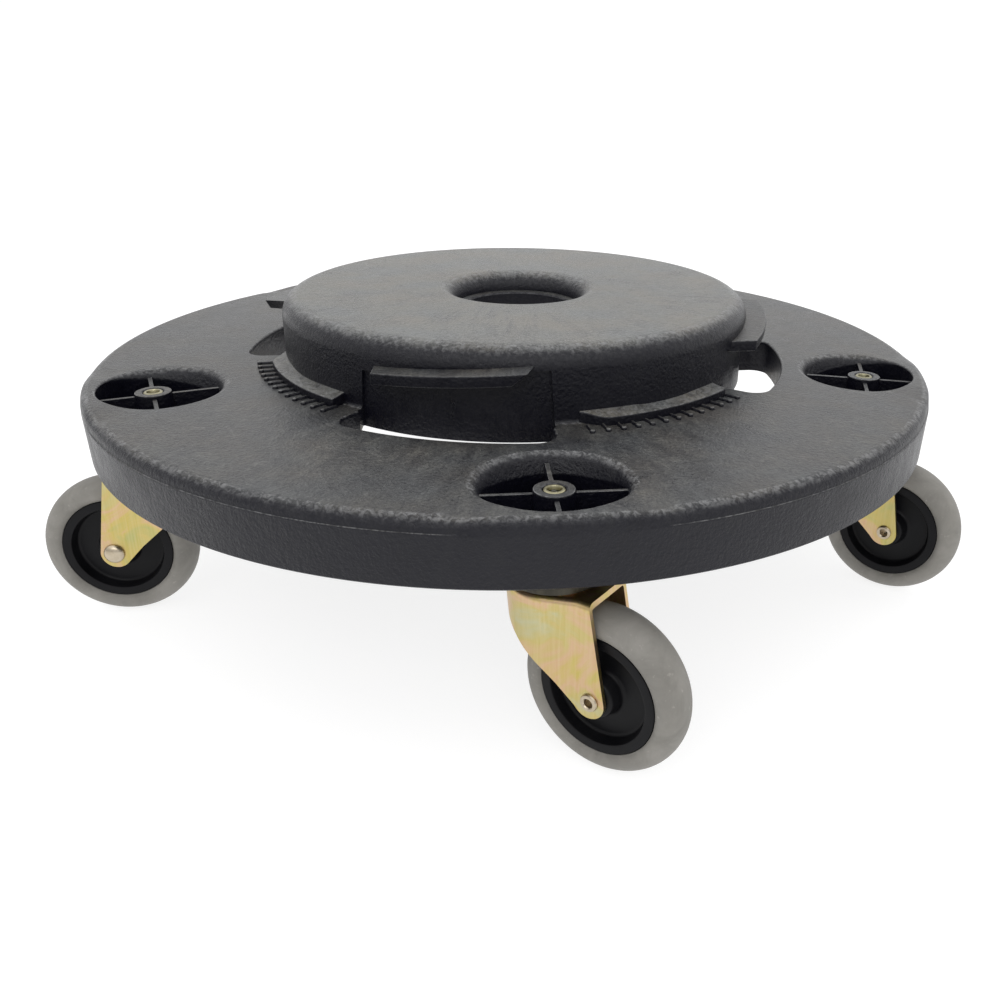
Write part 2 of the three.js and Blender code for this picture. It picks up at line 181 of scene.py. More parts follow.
def arc(cx, cy, radius, start, stop, steps):
    """Points on an arc, angles in degrees."""
    angles = [math.radians(start + (stop - start) * i / steps) for i in range(steps + 1)]
    return [(cx + radius * math.cos(a), cy + radius * math.sin(a)) for a in angles]


def disc(radius, steps):
    """A round outline, without its first point repeated."""
    return arc(0, 0, radius, 0, 360, steps)[:-1]


def round_corners(points, radii, steps=4):
    """A closed outline with chosen corners rounded: radii maps a corner's index to its radius."""
    out = []
    count = len(points)
    for i, point in enumerate(points):
        radius = radii.get(i)
        if not radius:
            out.append(point)
            continue
        corner = Vector(point)
        before = (Vector(points[i - 1]) - corner).normalized()
        after = (Vector(points[(i + 1) % count]) - corner).normalized()
        half = before.angle(after) / 2
        reach = radius / math.tan(half)
        centre = corner + (before + after).normalized() * radius / math.sin(half)
        first = corner + before * reach - centre
        last = corner + after * reach - centre
        for k in range(steps + 1):
            out.append(tuple(centre + first.slerp(last, k / steps).normalized() * radius))
    return out


def turned(profile, segments, axis="Z", closed=False):
    """A profile of (radius, height) turned about Z or Y. Points at radius 0 close on the axis."""
    bm = bmesh.new()
    rings = []
    for radius, height in profile:
        if radius < 1e-6:
            rings.append([bm.verts.new((0, 0, height))])
            continue
        turn = [2 * math.pi * i / segments for i in range(segments)]
        rings.append([bm.verts.new((radius * math.cos(a), radius * math.sin(a), height)) for a in turn])
    pairs = list(zip(rings, rings[1:]))
    if closed:
        pairs.append((rings[-1], rings[0]))
    for low, high in pairs:
        for i in range(segments):
            j = (i + 1) % segments
            corners = [low[i % len(low)], low[j % len(low)], high[j % len(high)], high[i % len(high)]]
            unique = list(dict.fromkeys(corners))
            if len(unique) > 2:
                bm.faces.new(unique)
    if axis == "Y":
        bmesh.ops.rotate(bm, verts=bm.verts, matrix=Matrix.Rotation(-math.pi / 2, 3, "X"))
    bmesh.ops.recalc_face_normals(bm, faces=bm.faces)
    return bm


def rod(radius, low, high, segments, axis="Z"):
    return turned([(0, low), (radius, low), (radius, high), (0, high)], segments, axis)


def turned_varying(profile_at, segments):
    """A closed ring whose profile, a closed loop of (radius, height), changes with azimuth in degrees."""
    bm = bmesh.new()
    columns = []
    for i in range(segments):
        azimuth = 360 * i / segments
        c, s = math.cos(math.radians(azimuth)), math.sin(math.radians(azimuth))
        columns.append([bm.verts.new((radius * c, radius * s, z)) for radius, z in profile_at(azimuth)])
    for i, column in enumerate(columns):
        following = columns[(i + 1) % segments]
        for k in range(len(column)):
            n = (k + 1) % len(column)
            bm.faces.new((column[k], following[k], following[n], column[n]))
    bmesh.ops.recalc_face_normals(bm, faces=bm.faces)
    return bm


def lofted(levels):
    """A closed solid through outlines of equal length: levels is a list of (outline, height)."""
    bm = bmesh.new()
    rings = [[bm.verts.new((x, y, z)) for x, y in outline] for outline, z in levels]
    for low, high in zip(rings, rings[1:]):
        for i in range(len(low)):
            j = (i + 1) % len(low)
            bm.faces.new((low[i], low[j], high[j], high[i]))
    bm.faces.new(list(reversed(rings[0])))
    bm.faces.new(rings[-1])
    bmesh.ops.recalc_face_normals(bm, faces=bm.faces)
    return bm


def prism(outline, low, high):
    return lofted([(outline, low), (outline, high)])


def sector(inner, outer, half, corner=0.0, steps=24):
    """An annular sector about azimuth 0, with round outer corners if corner is given."""
    points = arc(0, 0, inner, half, -half, steps)
    if corner <= 0:
        return points + arc(0, 0, outer, -half, half, steps)
    shy = half - math.degrees(corner / (outer - corner))
    ex = (outer - corner) * math.cos(math.radians(shy))
    ey = (outer - corner) * math.sin(math.radians(shy))
    high = arc(ex, ey, corner, shy, shy + 90, 10)
    low = [(x, -y) for x, y in reversed(high)]
    return points + low + arc(0, 0, outer, -shy, shy, steps)[1:-1] + high


def bevelled(bm, width, segments=3, min_angle=40):
    """Rounds a solid's own sharp edges."""
    least = math.radians(min_angle)
    edges = [e for e in bm.edges if len(e.link_faces) == 2 and e.calc_face_angle(0) > least]
    bmesh.ops.bevel(bm, geom=edges, offset=width, segments=segments, profile=0.5, affect="EDGES",
                    clamp_overlap=True)
    return bm


def copied(bm, matrices):
    """One bmesh holding a copy of bm at each matrix."""
    whole = bmesh.new()
    source = bpy.data.meshes.new("source")
    bm.to_mesh(source)
    for matrix in matrices:
        part = source.copy()
        part.transform(matrix)
        whole.from_mesh(part)
        bpy.data.meshes.remove(part)
    bpy.data.meshes.remove(source)
    return whole


def merged(*parts):
    whole = bmesh.new()
    for bm in parts:
        mesh = bpy.data.meshes.new("part")
        bm.to_mesh(mesh)
        whole.from_mesh(mesh)
        bpy.data.meshes.remove(mesh)
    return whole


def turn_z(degrees):
    return Matrix.Rotation(math.radians(degrees), 4, "Z")


def moved(bm, x=0.0, y=0.0, z=0.0):
    bmesh.ops.translate(bm, verts=bm.verts, vec=(x, y, z))
    return bm


def raw_object(name, bm):
    mesh = bpy.data.meshes.new(name)
    bm.to_mesh(mesh)
    bm.free()
    obj = bpy.data.objects.new(name, mesh)
    bpy.context.scene.collection.objects.link(obj)
    return obj


def carved(name, base, steps):
    """base with each (operation, bmesh) of steps applied by exact booleans."""
    obj = raw_object(name, base)
    tools = []
    for operation, bm in steps:
        tool = raw_object(name + "_tool", bm)
        modifier = obj.modifiers.new("carve", "BOOLEAN")
        modifier.operation = operation
        modifier.solver = "EXACT"
        modifier.object = tool
        tools.append(tool)
    bpy.context.view_layer.update()
    result = bpy.data.meshes.new_from_object(obj.evaluated_get(bpy.context.evaluated_depsgraph_get()))
    obj.modifiers.clear()
    old = obj.data
    obj.data = result
    bpy.data.meshes.remove(old)
    for tool in tools:
        bpy.data.objects.remove(tool)
    return obj


def taken(obj):
    """The mesh of a working object as a bmesh, and the object removed."""
    bm = bmesh.new()
    bm.from_mesh(obj.data)
    bpy.data.objects.remove(obj)
    return bm


def eased(value, low, high):
    """0 at low, 1 at high, with a smooth S between."""
    share = min(1.0, max(0.0, (value - low) / (high - low)))
    return share * share * (3 - 2 * share)


def blended(a, b, share):
    return [(p[0] + (q[0] - p[0]) * share, p[1] + (q[1] - p[1]) * share) for p, q in zip(a, b)]


def finished(obj, place, body, material, smooth=32):
    """Puts a millimetre-built object in the frame, smooths it, and hands it to its body."""
    obj.data.transform(place @ Matrix.Scale(MM, 4))
    obj.data.shade_smooth()
    obj.data.set_sharp_from_angle(angle=math.radians(smooth))
    weighted = obj.modifiers.new("weighted_normals", "WEIGHTED_NORMAL")
    weighted.keep_sharp = True
    obj.data.materials.clear()
    obj.data.materials.append(material)
    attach(obj, body)
    return obj


# ---------------------------------------------------------------- materials

class Nodes:
    """Short calls for building one node material."""

    def __init__(self, name):
        self.material = bpy.data.materials.new(name)
        self.material.use_nodes = True
        self.tree = self.material.node_tree
        self.shader = self.tree.nodes["Principled BSDF"]
        self.coords = self.tree.nodes.new("ShaderNodeTexCoord").outputs["Object"]

    def add(self, kind, inputs=None, **settings):
        node = self.tree.nodes.new(kind)
        for key, value in settings.items():
            setattr(node, key, value)
        for key, value in (inputs or {}).items():
            self.put(node.inputs[key], value)
        return node

    def put(self, socket, value):
        if isinstance(value, bpy.types.NodeSocket):
            self.tree.links.new(value, socket)
        else:
            socket.default_value = value

    def noise(self, scale, detail=4.0, roughness=0.5, distortion=0.0, vector=None):
        node = self.add("ShaderNodeTexNoise", {
            "Vector": vector or self.coords, "Scale": scale, "Detail": detail,
            "Roughness": roughness, "Distortion": distortion})
        return node.outputs["Fac"]

    def ramp(self, fac, *stops):
        node = self.add("ShaderNodeValToRGB", {"Fac": fac})
        ramp = node.color_ramp
        while len(ramp.elements) < len(stops):
            ramp.elements.new(0.5)
        for element, (position, color) in zip(ramp.elements, stops):
            element.position = position
            element.color = (*color, 1) if len(color) == 3 else color
        return node.outputs["Color"]

    def mask(self, fac, *stops):
        """A ramp of greys: each stop is (position, grey)."""
        return self.ramp(fac, *((position, (grey, grey, grey)) for position, grey in stops))

    def level(self, fac, low, high, from_low=0.0, from_high=1.0):
        node = self.add("ShaderNodeMapRange", {
            "Value": fac, "From Min": from_low, "From Max": from_high, "To Min": low, "To Max": high})
        return node.outputs["Result"]

    def math(self, operation, a, b=0.0):
        node = self.add("ShaderNodeMath", operation=operation)
        self.put(node.inputs[0], a)
        self.put(node.inputs[1], b)
        return node.outputs[0]

    def product(self, first, *others):
        for other in others:
            first = self.math("MULTIPLY", first, other)
        return first

    def mix(self, fac, a, b):
        node = self.add("ShaderNodeMix", data_type="RGBA")
        self.put(node.inputs[0], fac)
        self.put(node.inputs[6], a)
        self.put(node.inputs[7], b)
        return node.outputs[2]

    def bump(self, height, strength, distance, normal=None):
        node = self.add("ShaderNodeBump", {"Height": height, "Strength": strength, "Distance": distance})
        if normal is not None:
            self.put(node.inputs["Normal"], normal)
        return node.outputs["Normal"]

    def polar(self, centre, stretch):
        """Coordinates (azimuth, radius, height) about a vertical axis, for streaks that run outwards."""
        back = (-centre.x, -centre.y, 0)
        shifted = self.add("ShaderNodeVectorMath", {0: self.coords, 1: back}, operation="ADD")
        xyz = self.add("ShaderNodeSeparateXYZ", {0: shifted.outputs[0]})
        angle = self.math("ARCTAN2", xyz.outputs[1], xyz.outputs[0])
        flat = self.add("ShaderNodeCombineXYZ", {0: xyz.outputs[0], 1: xyz.outputs[1]})
        radius = self.add("ShaderNodeVectorMath", {0: flat.outputs[0]}, operation="LENGTH").outputs["Value"]
        scaled = self.math("MULTIPLY", angle, stretch)
        return self.add("ShaderNodeCombineXYZ", {0: scaled, 1: radius, 2: xyz.outputs[2]}).outputs[0]


def deck_plastic(name="deck_plastic", dust_and_sheen_low=0.30, dust_and_sheen_high=0.80):
    """Black structural foam: a grained skin, flow marks running outwards, dust and scuffs on the flats, and
    a speckled pale band along the upper edges of fillets that is partly rubbed wear and partly a painted
    highlight.
    """
    n = Nodes(name)
    polar = n.polar(DISC_AXIS, 0.45)
    flow = n.noise(24.0, 7.0, 0.62, 1.2, polar)
    swirl = n.noise(17.0, 6.0, 0.6, 2.6)
    cloud = n.math("ADD", n.product(flow, 0.55), n.product(swirl, 0.45))
    fine = n.noise(150.0, 6.0, 0.7, 1.5, polar)
    specks = n.noise(900.0, 2.0, 0.6)
    up = n.add("ShaderNodeSeparateXYZ", {0: n.add("ShaderNodeNewGeometry").outputs["Normal"]}).outputs[2]
    height = n.add("ShaderNodeSeparateXYZ", {0: n.coords}).outputs[2]
    flat = n.level(up, 0.0, 1.0, 0.70, 0.99)
    # How much light coat lies on the flats, rising to the hub top. Where it is raised, as on the ledges and
    # tooth pips, it is partly wear and partly a painted highlight.
    high = n.level(height, dust_and_sheen_low, dust_and_sheen_high, HUB_TOP * MM - 0.006, HUB_TOP * MM)
    drift = n.product(n.level(cloud, 0.25, 1.75, 0.32, 0.68), n.level(fine, 0.45, 1.55, 0.3, 0.7),
                      n.level(specks, 0.6, 1.4, 0.3, 0.7))
    dust = n.product(flat, high, drift)
    base = n.ramp(cloud, (0.32, (0.0022, 0.0022, 0.0055)), (0.52, (0.0038, 0.0038, 0.0080)),
                  (0.70, (0.008, 0.008, 0.011)))
    tint = n.ramp(n.noise(31.0, 3.0, 0.5), (0.35, (0.138, 0.129, 0.112)), (0.5, (0.130, 0.129, 0.118)),
                  (0.65, (0.122, 0.127, 0.125)))
    marks = n.mask(n.noise(75.0, 8.0, 0.70, 2.4), (0.58, 0), (0.70, 1))
    worn = n.product(marks, flat, 0.4)
    skin = n.mix(worn, n.mix(dust, base, tint), (0.16, 0.155, 0.145, 1))
    # Painted highlight, partly rubbed wear: a speckled pale band on the upper part of every top-edge
    # fillet, where the surface leans a little from level.
    edge = n.mask(up, (0.10, 0), (0.60, 0.10), (0.90, 0.9), (0.97, 1), (0.992, 0))
    chip_and_glint_specks = n.mask(n.noise(430.0, 4.0, 0.65, 0.6), (0.44, 0), (0.62, 1))
    rubbed_edge_and_highlight = n.product(edge, chip_and_glint_specks, 0.55)
    n.put(n.shader.inputs["Base Color"], n.mix(rubbed_edge_and_highlight, skin, (0.24, 0.24, 0.245, 1)))
    n.put(n.shader.inputs["Roughness"], n.level(cloud, 0.24, 0.44, 0.32, 0.68))
    n.shader.inputs["Specular IOR Level"].default_value = 0.31
    ripple = n.bump(fine, 0.35, 0.0012)
    pits = n.bump(n.noise(520.0, 3.0, 0.6), 0.60, 0.0007, ripple)
    n.put(n.shader.inputs["Normal"], n.bump(specks, 0.50, 0.0004, pits))
    return n.material


def tyre_rubber():
    """Grey thermoplastic rubber, mottled and faintly brown, with paler specks."""
    n = Nodes("tyre_rubber")
    mottle = n.noise(48.0, 6.0, 0.66, 0.6)
    base = n.ramp(mottle, (0.30, (0.168, 0.160, 0.145)), (0.50, (0.212, 0.203, 0.184)),
                  (0.70, (0.252, 0.240, 0.220)))
    specks = n.mask(n.noise(420.0, 2.0, 0.5), (0.66, 0), (0.76, 1))
    n.put(n.shader.inputs["Base Color"], n.mix(n.product(specks, 0.4), base, (0.36, 0.345, 0.315, 1)))
    n.put(n.shader.inputs["Roughness"], n.level(mottle, 0.50, 0.66))
    n.shader.inputs["Specular IOR Level"].default_value = 0.35
    n.put(n.shader.inputs["Normal"], n.bump(n.noise(900.0, 3.0, 0.5), 0.10, 0.0003))
    return n.material


def core_plastic():
    """Black nylon, satin."""
    n = Nodes("core_plastic")
    cloud = n.noise(70.0, 4.0, 0.55)
    base = n.ramp(cloud, (0.3, (0.0028, 0.0028, 0.0036)), (0.7, (0.006, 0.006, 0.0072)))
    n.put(n.shader.inputs["Base Color"], base)
    n.put(n.shader.inputs["Roughness"], n.level(cloud, 0.34, 0.5))
    n.shader.inputs["Specular IOR Level"].default_value = 0.15
    n.put(n.shader.inputs["Normal"], n.bump(n.noise(1100.0, 2.0, 0.5), 0.08, 0.0002))
    return n.material


def zinc(name, stops, streak_tint, roughness):
    """Passivated zinc plate: a film of drifting tints over fine vertical brushing."""
    n = Nodes(name)
    film = n.noise(34.0, 4.0, 0.55, 1.0)
    base = n.ramp(film, *stops)
    streaks = n.add("ShaderNodeMapping", {"Vector": n.coords, "Scale": (900.0, 900.0, 40.0)}).outputs[0]
    brushed = n.noise(1.0, 3.0, 0.6, 0.0, streaks)
    n.put(n.shader.inputs["Base Color"], n.mix(n.level(brushed, 0.0, 0.3, 0.35, 0.65), base, streak_tint))
    n.shader.inputs["Metallic"].default_value = 1.0
    n.put(n.shader.inputs["Roughness"], n.level(brushed, *roughness))
    n.put(n.shader.inputs["Normal"], n.bump(brushed, 0.10, 0.0002))
    return n.material


def gold_zinc():
    green, yellow, pink = (0.40, 0.39, 0.14), (0.52, 0.41, 0.13), (0.58, 0.38, 0.24)
    amber, pale = (0.50, 0.41, 0.15), (0.46, 0.45, 0.28)
    film = ((0.30, green), (0.42, yellow), (0.50, pink), (0.58, amber), (0.70, pale))
    return zinc("gold_zinc", film, (0.64, 0.55, 0.33, 1), (0.26, 0.42))


def olive_zinc():
    film = ((0.35, (0.20, 0.19, 0.12)), (0.65, (0.34, 0.31, 0.20)))
    return zinc("olive_zinc", film, (0.45, 0.42, 0.28, 1), (0.24, 0.4))


# Painted shade: the race cups under the deck are coloured near black, as a dark zinc film, to stand for the
# shade they sit in.
def painted_shade_zinc():
    film = ((0.35, (0.035, 0.034, 0.030)), (0.65, (0.075, 0.070, 0.058)))
    return zinc("painted_shade_zinc", film, (0.12, 0.11, 0.08, 1), (0.34, 0.5))


def plain_steel():
    """Bright zinc-plated steel, lightly worn."""
    n = Nodes("plain_steel")
    wear = n.noise(220.0, 4.0, 0.6)
    n.put(n.shader.inputs["Base Color"], n.ramp(wear, (0.3, (0.42, 0.35, 0.25)), (0.7, (0.58, 0.51, 0.40))))
    n.shader.inputs["Metallic"].default_value = 1.0
    n.put(n.shader.inputs["Roughness"], n.level(wear, 0.22, 0.40))
    n.put(n.shader.inputs["Normal"], n.bump(n.noise(1400.0, 2.0, 0.5), 0.06, 0.0002))
    return n.material


# ---------------------------------------------------------------- deck

def at_casters():
    """Each caster's azimuth about the disc axis, in degrees, in the CAD's order."""
    azimuths = []
    for number in range(1, 6):
        x, y, _ = JOINTS[f"swivel_{number}_turn"]["pos_m"]
        azimuths.append(math.degrees(math.atan2(y - DISC_AXIS.y, x - DISC_AXIS.x)))
    return azimuths


def deck_profiles():
    """The deck's section away from the wells, and at a well, where its edge runs up into a rim."""
    wall_top = SKIRT_BOTTOM + SKIRT_WALL
    inner = DECK_R - SHELL
    under_deck = DECK_TOP - SHELL
    under_hub = HUB_TOP - SHELL
    throat = HUB_TOP - HOLE_LIP_DROP
    skirt = [(DECK_R - 1.5, SKIRT_BOTTOM), (DECK_R - 0.8, SKIRT_BOTTOM + 0.7),
             (DECK_R - 0.05, wall_top - 0.5)]
    plain_edge = [(DECK_R - 0.15, wall_top), (DECK_R - 0.55, wall_top + 0.25)]
    plain_edge += arc(DECK_R - 0.5 - EDGE_FILLET, wall_top + 0.1, EDGE_FILLET - 0.1, 4, 90, 12)
    rim_edge = [(DECK_R - 0.07, wall_top), (DECK_R - 0.1, wall_top + 0.7),
                (DECK_R - 0.15, wall_top + 1.3)]
    rim_edge += arc(DECK_R - 0.2 - RIM_ROUNDING, RIM_TOP - RIM_ROUNDING, RIM_ROUNDING, 0, 90, 5)
    rim_edge += [(220.0, RIM_TOP), (210.0, RIM_TOP - 0.05), (204.0, RIM_TOP - 0.2),
                 (198.0, DECK_TOP + 0.15), (192.0, DECK_TOP + 0.05), (186.0, DECK_TOP)]
    lip_turns = [math.radians(a) for a in range(0, 91, 9)]
    lip = [(HOLE_LIP_R - (HOLE_LIP_R - HOLE_THROAT_R) * math.sin(t), throat + HOLE_LIP_DROP * math.cos(t))
           for t in lip_turns]
    top = [(180, DECK_TOP), (155, DECK_TOP)]
    top += arc(HUB_R + HUB_FOOT_ROUNDING, DECK_TOP + HUB_FOOT_ROUNDING, HUB_FOOT_ROUNDING, 270, 180, 5)
    top += arc(HUB_R - HUB_FILLET, HUB_TOP - HUB_FILLET, HUB_FILLET, 0, 90, 14)
    top += [(100, HUB_TOP), (70, HUB_TOP)] + lip
    tube = [(HOLE_R + 0.8, throat - 0.3), (HOLE_R, throat - 1.2), (HOLE_R - 0.4, HOLE_TUBE_END),
            (HOLE_TUBE_R, HOLE_TUBE_END), (HOLE_TUBE_R + 3, under_hub)]
    wall = [(HUB_R - HUB_WALL - SHELL, under_hub), (HUB_R - HUB_WALL, under_hub - SHELL),
            (HUB_R - HUB_WALL, HUB_FOOT + 0.6), (HUB_R - HUB_WALL + 0.6, HUB_FOOT),
            (HUB_R - 0.6, HUB_FOOT), (HUB_R, HUB_FOOT + 0.6), (HUB_R, under_deck)]
    inside = tube + wall + [(inner - EDGE_FILLET, under_deck), (inner - 1, under_deck - 5),
                            (inner - 1.4, SKIRT_BOTTOM)]
    return skirt + plain_edge + top + inside, skirt + rim_edge + top + inside


def deck_ring(casters):
    plain, rimmed = deck_profiles()

    def profile_at(azimuth):
        away = min(abs((azimuth - caster + 180) % 360 - 180) for caster in casters)
        return blended(rimmed, plain, eased(math.radians(away) * DECK_R, RIM_HALF_TOP, RIM_HALF_FOOT))

    return turned_varying(profile_at, RING_SEGMENTS)


def well_cutter():
    """A well's bore: a bowl towards the hub, a rounded edge at the sides, a tight edge at the rim."""
    floor = SKIRT_BOTTOM + WELL_FLOOR
    above = RIM_TOP + 3
    rounded = arc(1, 0, 1, 180, 92, 14)
    sloped = [(0, 0), (0.07, 0.12), (0.14, 0.24), (0.205, 0.35), (0.265, 0.455), (0.32, 0.55),
              (0.37, 0.635), (0.42, 0.71), (0.475, 0.775), (0.54, 0.83), (0.615, 0.878), (0.70, 0.918),
              (0.79, 0.952), (0.89, 0.98), (1, 0.998)]

    def profile_at(azimuth):
        away = min(azimuth, 360 - azimuth)
        flare = RIM_EDGE + (WELL_FLARE - RIM_EDGE) * eased(away, *WELL_FLARE_SPAN)
        bowl = eased(away, *WELL_BOWL_SPAN)
        depth = flare * 0.75 + (WELL_BOWL - flare * 0.75) * bowl
        mouth = RIM_TOP + (DECK_TOP - RIM_TOP) * eased(away, *WELL_MOUTH_SPAN)
        bore = WELL_R - RIM_THICKER * math.cos(math.radians(min(away, 90))) ** 2
        foot = [(1, floor), (bore - 1, floor), (bore, floor + 1)]
        curve = [(bore + flare * x, mouth - depth * (1 - z)) for x, z in blended(rounded, sloped, bowl)]
        return foot + curve + [(bore + flare + 0.4, above), (1, above)]

    ring = turned_varying(profile_at, WELL_SEGMENTS)
    core = prism(disc(2, 24), floor, above)
    return moved(taken(carved("well_bore", ring, [("UNION", core)])), x=CASTER_CIRCLE_R)


def slot_outline(grow):
    """The slot's outline, pushed out by grow at its outer side and its ends."""
    return sector(HUB_R + 1.6, SLOT_OUTER_R + grow, SLOT_HALF + grow * SLOT_SPREAD, SLOT_CORNER + grow)


def slot_cutter():
    levels = [(slot_outline(0), FLANGE_BOTTOM - 5), (slot_outline(0), DECK_TOP - SLOT_EDGE)]
    for t in range(15, 91, 15):
        rise = math.radians(t)
        grow = SLOT_EDGE * (1 - math.cos(rise))
        levels.append((slot_outline(grow), DECK_TOP - SLOT_EDGE + SLOT_EDGE * math.sin(rise)))
    levels[-1] = (levels[-1][0], DECK_TOP + 0.01)
    levels.append((slot_outline(SLOT_EDGE), DECK_TOP + 0.6))
    return lofted(levels)


def recess_cutter():
    """The shallow panel in the hub's wall under a tab, wider at its foot, and the slot's inner side."""
    top = TAB_MID_TOP - TAB_THICK / 2
    foot = sector(SLOT_INNER_R + 0.4, HUB_R + 4, PANEL_FOOT_HALF)
    head = sector(SLOT_INNER_R, HUB_R + 4, SLOT_HALF)
    bm = lofted([(foot, FLANGE_BOTTOM - 5), (head, top)])
    for v in bm.verts:
        if v.co.z > top - 0.1:
            v.co.z += TAB_RAMP * math.degrees(math.atan2(v.co.y, v.co.x))
    return bm


def slot_flange():
    outline = sector(FLANGE_INNER_R, SLOT_OUTER_R + FLANGE, SLOT_HALF + FLANGE_SPREAD, SLOT_CORNER + FLANGE)
    return prism(outline, FLANGE_BOTTOM, DECK_TOP - SHELL / 2)


def well_wall():
    return moved(prism(disc(WELL_WALL_R, 96), SKIRT_BOTTOM, DECK_TOP - SHELL / 2), x=CASTER_CIRCLE_R)


def make_deck(look):
    azimuths = at_casters()
    casters = [turn_z(a) for a in azimuths]
    quarters = [turn_z(a) for a in QUARTERS]
    trim = prism(disc(WELL_TRIM_R, 240), SKIRT_BOTTOM - 1, DECK_TOP)
    walls = taken(carved("well_walls", copied(well_wall(), casters), [("INTERSECT", trim)]))
    stem_bore = moved(rod(STEM_R + STEM_FIT, 80, 130, 48), x=CASTER_CIRCLE_R)
    deck = carved("deck_shell", deck_ring(azimuths), [
        ("UNION", merged(walls, copied(slot_flange(), quarters))),
        ("DIFFERENCE", copied(well_cutter(), casters)),
        ("DIFFERENCE", copied(slot_cutter(), quarters)),
        ("DIFFERENCE", copied(recess_cutter(), quarters)),
        ("DIFFERENCE", copied(stem_bore, casters)),
    ])
    finished(deck, Matrix.Translation(DISC_AXIS), "dolly", look)
    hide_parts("deck")


def tab():
    """One twist-lock tab: square-cut at one end, undercut as a lead-in at the other."""
    steps = 28
    corners = (
        (TAB_INNER_R, TAB_INNER_TOP_SPAN, 0),
        (TAB_OUTER_R, TAB_OUTER_TOP_SPAN, 0),
        (TAB_OUTER_R - 0.5, TAB_OUTER_LOW_SPAN, TAB_THICK),
        (TAB_INNER_R, TAB_INNER_LOW_SPAN, TAB_THICK),
    )
    bm = bmesh.new()
    rings = []
    for i in range(steps + 1):
        ring = []
        for radius, (start, stop), drop in corners:
            azimuth = start + (stop - start) * i / steps
            a = math.radians(azimuth)
            z = TAB_MID_TOP + TAB_RAMP * azimuth - drop
            ring.append(bm.verts.new((radius * math.cos(a), radius * math.sin(a), z)))
        rings.append(ring)
    for low, high in zip(rings, rings[1:]):
        for i in range(4):
            j = (i + 1) % 4
            bm.faces.new((low[i], low[j], high[j], high[i]))
    bm.faces.new(rings[0])
    bm.faces.new(list(reversed(rings[-1])))
    bmesh.ops.recalc_face_normals(bm, faces=bm.faces)
    return bevelled(bm, TAB_ROUNDING)


def ledge():
    """The step at the hub's foot: its top falls a little outwards and its low-azimuth end tapers."""
    outline = sector(HUB_R - 3, LEDGE_OUTER_R, LEDGE_HALF, steps=36)
    start = -LEDGE_HALF - 0.5
    shaped = []
    for x, y in outline:
        radius, azimuth = math.hypot(x, y), math.degrees(math.atan2(y, x))
        if radius > HUB_R:
            tapered = 1 - eased(azimuth, start, start + LEDGE_TAPER)
            radius -= (LEDGE_OUTER_R - HUB_R - 0.5) * tapered
        shaped.append((radius * math.cos(math.radians(azimuth)), radius * math.sin(math.radians(azimuth))))
    bm = lofted([(shaped, DECK_TOP - 2), (shaped, DECK_TOP + LEDGE_RISE)])
    for v in bm.verts:
        if v.co.z > DECK_TOP:
            v.co.z += LEDGE_FALL * (LEDGE_OUTER_R - math.hypot(v.co.x, v.co.y))
    return bevelled(bm, 0.7)


def oblong(low, high, half):
    """A rectangle from low to high along X, reaching half to each side of it."""
    return [(low, -half), (high, -half), (high, half), (low, half)]


def tooth():
    """A low rib running out from a ledge."""
    low, high = LEDGE_OUTER_R - 2, TOOTH_TIP_R - PIP_R
    base = oblong(low, high, TOOTH_WIDTH / 2)
    crest = oblong(low, high, TOOTH_WIDTH / 4)
    shoulder = DECK_TOP + TOOTH_RISE * 0.4
    return lofted([(base, DECK_TOP - 1), (base, shoulder), (crest, DECK_TOP + TOOTH_RISE)])


def pip():
    """The small dome at a tooth's tip."""
    profile = [(0, DECK_TOP - 1), (PIP_R + 0.05, DECK_TOP - 1), (PIP_R, DECK_TOP + 0.3)]
    profile += arc(0.5, DECK_TOP + 0.5, 0.85, 0, 90, 6) + [(0, DECK_TOP + TOOTH_RISE + 0.3)]
    return moved(turned(profile, 24), x=TOOTH_TIP_R - PIP_R)


def spokes_and_boss():
    foot = SKIRT_BOTTOM + WELL_FLOOR - 1
    reach = WELL_R + 1.2
    base = oblong(-reach, reach, SPOKE_HALF_FOOT)
    head = oblong(-reach, reach, SPOKE_HALF_TOP)
    spoke = bevelled(lofted([(base, foot), (head, SPOKE_TOP)]), 0.4, 2)
    spokes = copied(spoke, [turn_z(azimuth) for azimuth in (0, 90)])
    profile = [(STEM_R + STEM_FIT, foot), (BOSS_R + 0.6, foot), (BOSS_R, BOSS_TOP - 0.9),
               (BOSS_R - 0.3, BOSS_TOP - 0.25), (BOSS_R - 0.9, BOSS_TOP), (STEM_R + 0.7, BOSS_TOP),
               (STEM_R + STEM_FIT, BOSS_TOP - 0.5)]
    return moved(merged(spokes, turned(profile, 64, closed=True)), x=CASTER_CIRCLE_R)


def make_deck_details(look, worn_and_highlit_look):
    place = Matrix.Translation(DISC_AXIS)
    tooth_turns = []
    for azimuth in DIAGONALS:
        for i in range(TOOTH_COUNT):
            tooth_turns.append(turn_z(azimuth + TOOTH_SHIFT + (i - (TOOTH_COUNT - 1) / 2) * TOOTH_STEP))
    # The ledges and tooth pips take the lighter coat, which is partly wear and partly a painted highlight
    # on the pips' domed tips and the ledges' top edges.
    parts = {
        "twist_tabs": (copied(tab(), [turn_z(a) for a in QUARTERS]), look),
        "lock_ledges": (copied(ledge(), [turn_z(a) for a in DIAGONALS]), worn_and_highlit_look),
        "ledge_teeth": (copied(tooth(), tooth_turns), look),
        "tooth_pips": (copied(pip(), tooth_turns), worn_and_highlit_look),
        "well_spokes": (copied(spokes_and_boss(), [turn_z(a) for a in at_casters()]), look),
    }
    for name, (bm, finish) in parts.items():
        piece = finished(raw_object(name, bm), place, "dolly", finish)
        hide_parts("deck")


# ---------------------------------------------------------------- casters

